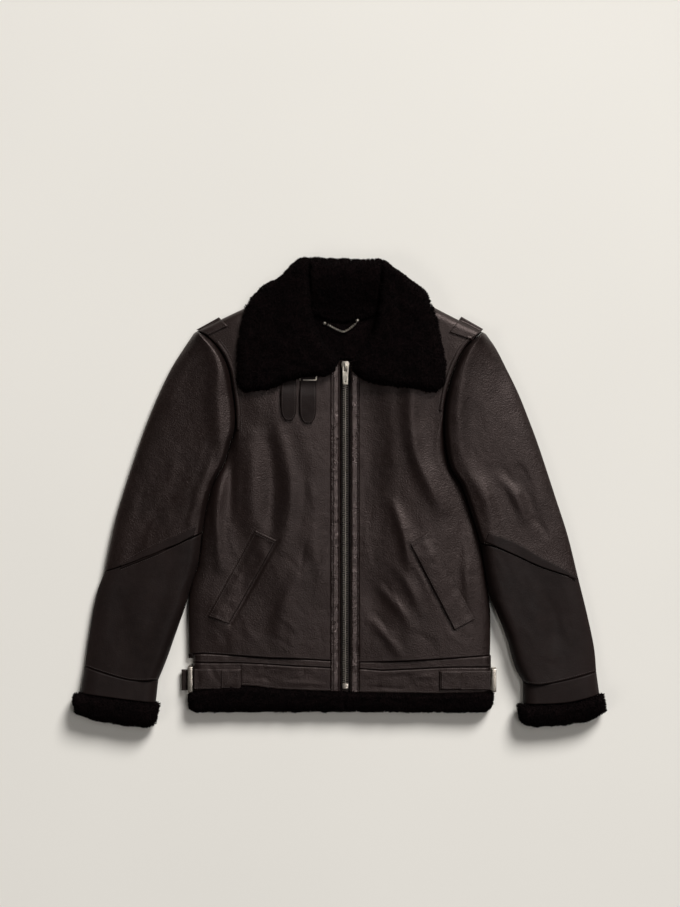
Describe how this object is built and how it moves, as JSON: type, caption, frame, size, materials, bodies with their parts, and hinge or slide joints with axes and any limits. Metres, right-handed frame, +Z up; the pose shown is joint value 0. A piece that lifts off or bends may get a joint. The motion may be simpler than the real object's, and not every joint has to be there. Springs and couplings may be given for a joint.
{
  "type": "shearling jacket",
  "caption": "Zipped shearling jacket with a wide fur collar, fur cuffs and hem, slanted welt pockets and side straps, lying flat on its back.",
  "frame": {"origin": "middle of the jacket's outline on the surface that it lies on", "axes": "+X across both sleeves to the right as seen from above, +Y towards the collar, +Z up, away from the surface"},
  "size_m": [0.8518, 0.7504, 0.0495],
  "materials": {
    "leather": "waxed, finely creased, half gloss",
    "sueded_leather": "matt, lightly sueded",
    "fur": "dense sheared wool",
    "tape": "matt seam and zip tape",
    "metal": "worn nickel"
  },
  "bodies": {
    "jacket": {"back": "leather", "front_left": "leather", "front_right": "leather", "placket_left": "leather", "placket_right": "leather", "hem_tape_left": "tape", "hem_tape_right": "tape", "waistband_left": "leather", "waistband_right": "leather", "waistband_back": "leather", "hem_fur_left": "fur", "hem_fur_right": "fur", "hem_fur_back": "fur", "sleeve_top_left": "leather", "sleeve_top_right": "leather", "sleeve_forearm_left": "sueded_leather", "sleeve_forearm_right": "sueded_leather", "sleeve_under_left": "sueded_leather", "sleeve_under_right": "sueded_leather", "cuff_band_left": "sueded_leather", "cuff_band_right": "sueded_leather", "cuff_band_under_left": "sueded_leather", "cuff_band_under_right": "sueded_leather", "cuff_fur_left": "fur", "cuff_fur_right": "fur", "cuff_fur_under_left": "fur", "cuff_fur_under_right": "fur", "elbow_tape_left": "tape", "elbow_tape_right": "tape", "zip_tape": "tape", "zip_teeth": "metal", "zip_bottom_stop": "metal", "zip_slider": "metal", "neck_fleece": "fur", "collar_left": "fur", "collar_right": "fur", "collar_back": "fur", "collar_strap_1": "leather", "collar_strap_2": "leather", "collar_strap_buckle": "metal", "hanger_chain": "metal", "hanger_stud_left": "metal", "hanger_stud_right": "metal", "pocket_welt_left": "leather", "pocket_welt_right": "leather", "armhole_welt_left": "leather", "armhole_welt_right": "leather", "shoulder_tab_left": "leather", "shoulder_tab_right": "leather", "side_strap_left": "leather", "side_strap_right": "leather", "strap_patch_left": "leather", "strap_patch_right": "leather", "side_buckle_left": "metal", "side_buckle_right": "metal", "side_tab_left": "leather"},
    "pull_tab": {"zip_pull_tab": "metal"}
  },
  "joints": [
    {"name": "pull_tab_hinge", "type": "hinge", "parent": "jacket", "child": "pull_tab", "pos_m": [0.0098, 0.2012, 0.0243], "axis": [-1, 0, 0], "range_deg": [0, 150]}
  ]
}
